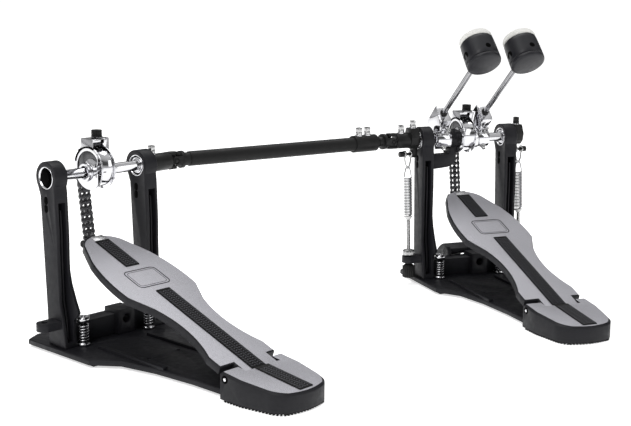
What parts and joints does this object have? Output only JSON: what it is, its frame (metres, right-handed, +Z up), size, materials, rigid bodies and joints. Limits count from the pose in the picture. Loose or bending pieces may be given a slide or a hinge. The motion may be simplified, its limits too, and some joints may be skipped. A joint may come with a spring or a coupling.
{
  "type": "double bass drum pedal",
  "caption": "Double bass drum pedal: two chain-drive footboards, a telescopic drive shaft and a pair of felt beaters on one hoop clamp frame.",
  "frame": {"origin": "on the floor under the axle of the master pedal, on the centre line of its footboard", "axes": "+X along the master axle away from the slave pedal, +Y forward to the drum, +Z up"},
  "size_m": [0.6744, 0.4462, 0.3318],
  "materials": {
    "silver_board": "sparkling silver paint",
    "black_cast": "satin black",
    "dark_cast": "dark grey",
    "rubber_black": "matt",
    "chrome": "polished",
    "steel": "nickel plated",
    "felt_white": "felt",
    "black_steel": "black oxide",
    "head_plastic": "satin"
  },
  "bodies": {
    "master_frame": {"master_base_plate": "black_cast", "master_rubber_pads": "rubber_black", "master_heel_plate": "dark_cast", "master_hinge_pin": "chrome", "master_left_upright": "black_cast", "master_right_upright": "black_cast", "master_cross_bar": "black_cast", "master_bearings": "chrome", "master_spurs": "chrome", "middle_bearing_arm": "black_cast"},
    "slave_frame": {"slave_base_plate": "black_cast", "slave_rubber_pads": "rubber_black", "slave_heel_plate": "dark_cast", "slave_hinge_pin": "chrome", "slave_left_upright": "black_cast", "slave_right_upright": "black_cast", "slave_cross_bar": "black_cast", "slave_bearings": "chrome", "slave_spurs": "chrome"},
    "master_footboard": {"master_footboard": "silver_board", "master_footboard_strip": "rubber_black"},
    "master_chain_lower": {"master_chain_lower": "steel"},
    "master_chain_middle": {"master_chain_middle": "steel"},
    "slave_footboard": {"slave_footboard": "silver_board", "slave_footboard_strip": "rubber_black"},
    "slave_chain_lower": {"slave_chain_lower": "steel"},
    "slave_chain_middle": {"slave_chain_middle": "steel"},
    "master_axle": {"master_axle": "chrome", "master_cam": "chrome", "master_cam_clamp": "chrome", "master_chain_upper": "steel", "right_beater_hub": "chrome", "right_rocker": "black_steel"},
    "slave_axle": {"slave_axle": "chrome", "slave_cam": "chrome", "slave_cam_clamp": "chrome", "slave_chain_upper": "steel", "slave_yoke": "black_steel", "slave_cross": "black_steel"},
    "left_axle": {"master_left_axle": "chrome", "master_yoke": "black_steel", "master_cross": "black_steel", "left_rocker": "black_steel", "left_beater_hub": "chrome"},
    "drive_tube": {"drive_tube": "chrome"},
    "drive_rod": {"drive_rod": "black_steel"},
    "left_beater": {"left_beater_rod": "chrome", "left_beater_head": "head_plastic", "left_beater_felt": "felt_white"},
    "left_spring_rod": {"left_spring_rod": "steel", "left_spring": "steel"},
    "left_spring_link": {"left_spring_link": "steel"},
    "right_beater": {"right_beater_rod": "chrome", "right_beater_head": "head_plastic", "right_beater_felt": "felt_white"},
    "right_spring_rod": {"right_spring_rod": "steel", "right_spring": "steel"},
    "right_spring_link": {"right_spring_link": "steel"},
    "hoop_jaw": {"hoop_jaw": "black_cast"},
    "hoop_screw": {"hoop_screw": "chrome"}
  },
  "joints": [
    {"name": "master_footboard_hinge", "type": "hinge", "parent": "master_frame", "child": "master_footboard", "pos_m": [0, -0.2421, 0.0229], "axis": [-1, 0, 0], "range_deg": [0, 4.08], "stiffness_Nm_per_rad": 3, "springref_deg": -34.38},
    {"name": "master_chain_toe", "type": "hinge", "parent": "master_footboard", "child": "master_chain_lower", "pos_m": [0, 0.00809, 0.10576], "axis": [1, 0, 0], "range_deg": [0, 6.32]},
    {"name": "master_chain_unroll", "type": "hinge", "parent": "master_frame", "child": "master_chain_middle", "pos_m": [0, -0.03874, 0.17132], "axis": [-1, 0, 0], "range_deg": [0, 16.56]},
    {"name": "master_axle_turn", "type": "hinge", "parent": "master_frame", "child": "master_axle", "pos_m": [0, 0, 0.185], "axis": [-1, 0, 0], "range_deg": [0, 45.02]},
    {"name": "slave_footboard_hinge", "type": "hinge", "parent": "slave_frame", "child": "slave_footboard", "pos_m": [-0.39739, -0.33651, 0.0229], "axis": [-0.898, -0.4399, 0], "range_deg": [0, 4.08], "stiffness_Nm_per_rad": 3, "springref_deg": -34.38},
    {"name": "slave_chain_toe", "type": "hinge", "parent": "slave_footboard", "child": "slave_chain_lower", "pos_m": [-0.50746, -0.11183, 0.10576], "axis": [0.898, 0.4399, 0], "range_deg": [0, 6.32]},
    {"name": "slave_chain_unroll", "type": "hinge", "parent": "slave_frame", "child": "slave_chain_middle", "pos_m": [-0.48686, -0.15389, 0.17132], "axis": [-0.898, -0.4399, 0], "range_deg": [0, 16.56]},
    {"name": "slave_axle_turn", "type": "hinge", "parent": "slave_frame", "child": "slave_axle", "pos_m": [-0.5039, -0.1191, 0.185], "axis": [-0.898, -0.4399, 0], "range_deg": [0, 45.02]},
    {"name": "slave_distance", "type": "slide", "parent": "master_frame", "child": "slave_frame", "axis": [-0.9742, -0.2258, 0], "range_m": [-0.008, 0.06]},
    {"name": "drive_tube_turn", "type": "hinge", "parent": "slave_frame", "child": "drive_tube", "pos_m": [-0.40332, -0.06983, 0.185], "axis": [-0.9742, -0.2258, 0], "range_deg": [0, 45.02]},
    {"name": "drive_rod_turn", "type": "hinge", "parent": "master_frame", "child": "drive_rod", "pos_m": [-0.102, 0, 0.185], "axis": [-0.9742, -0.2258, 0], "range_deg": [0, 45.02]},
    {"name": "left_axle_turn", "type": "hinge", "parent": "master_frame", "child": "left_axle", "pos_m": [0, 0, 0.185], "axis": [-1, 0, 0], "range_deg": [0, 45.02]},
    {"name": "left_beater_height", "type": "slide", "parent": "left_axle", "child": "left_beater", "axis": [0, -0.749, 0.6626], "range_m": [-0.03, 0.006]},
    {"name": "left_spring_swing", "type": "hinge", "parent": "master_frame", "child": "left_spring_rod", "pos_m": [-0.0755, -0.0115, 0.033], "axis": [1, 0, 0], "range_deg": [0, 5.43]},
    {"name": "left_spring_stretch", "type": "slide", "parent": "left_spring_rod", "child": "left_spring_link", "axis": [0, 0.0891, 0.996], "range_m": [0, 0.00435], "deforming": ["left_spring"]},
    {"name": "right_beater_height", "type": "slide", "parent": "master_axle", "child": "right_beater", "axis": [0, -0.749, 0.6626], "range_m": [-0.03, 0.006]},
    {"name": "right_spring_swing", "type": "hinge", "parent": "master_frame", "child": "right_spring_rod", "pos_m": [0.087, -0.0115, 0.033], "axis": [1, 0, 0], "range_deg": [0, 5.43]},
    {"name": "right_spring_stretch", "type": "slide", "parent": "right_spring_rod", "child": "right_spring_link", "axis": [0, 0.0891, 0.996], "range_m": [0, 0.00435], "deforming": ["right_spring"]},
    {"name": "hoop_jaw_hinge", "type": "hinge", "parent": "master_frame", "child": "hoop_jaw", "pos_m": [0, 0.003, 0.036], "axis": [1, 0, 0], "range_deg": [0, 15]},
    {"name": "hoop_screw_turn", "type": "hinge", "parent": "master_frame", "child": "hoop_screw", "pos_m": [0, 0.007, 0.019], "axis": [1, 0, 0], "continuous": true}
  ],
  "couplings": [
    {"joint": "master_chain_toe", "follows": "master_footboard_hinge", "ratio": 1.547},
    {"joint": "master_chain_unroll", "follows": "master_footboard_hinge", "ratio": 4.0584},
    {"joint": "master_axle_turn", "follows": "master_footboard_hinge", "ratio": 11.043},
    {"joint": "slave_chain_toe", "follows": "slave_footboard_hinge", "ratio": 1.547},
    {"joint": "slave_chain_unroll", "follows": "slave_footboard_hinge", "ratio": 4.0584},
    {"joint": "slave_axle_turn", "follows": "slave_footboard_hinge", "ratio": 11.043},
    {"joint": "drive_tube_turn", "follows": "slave_footboard_hinge", "ratio": 11.043},
    {"joint": "drive_rod_turn", "follows": "slave_footboard_hinge", "ratio": 11.043},
    {"joint": "left_axle_turn", "follows": "slave_footboard_hinge", "ratio": 11.043},
    {"joint": "left_spring_swing", "follows": "slave_footboard_hinge", "ratio": 1.328},
    {"joint": "left_spring_stretch", "follows": "slave_footboard_hinge", "m_per_rad": 0.060828},
    {"joint": "right_spring_swing", "follows": "master_footboard_hinge", "ratio": 1.328},
    {"joint": "right_spring_stretch", "follows": "master_footboard_hinge", "m_per_rad": 0.060828}
  ]
}
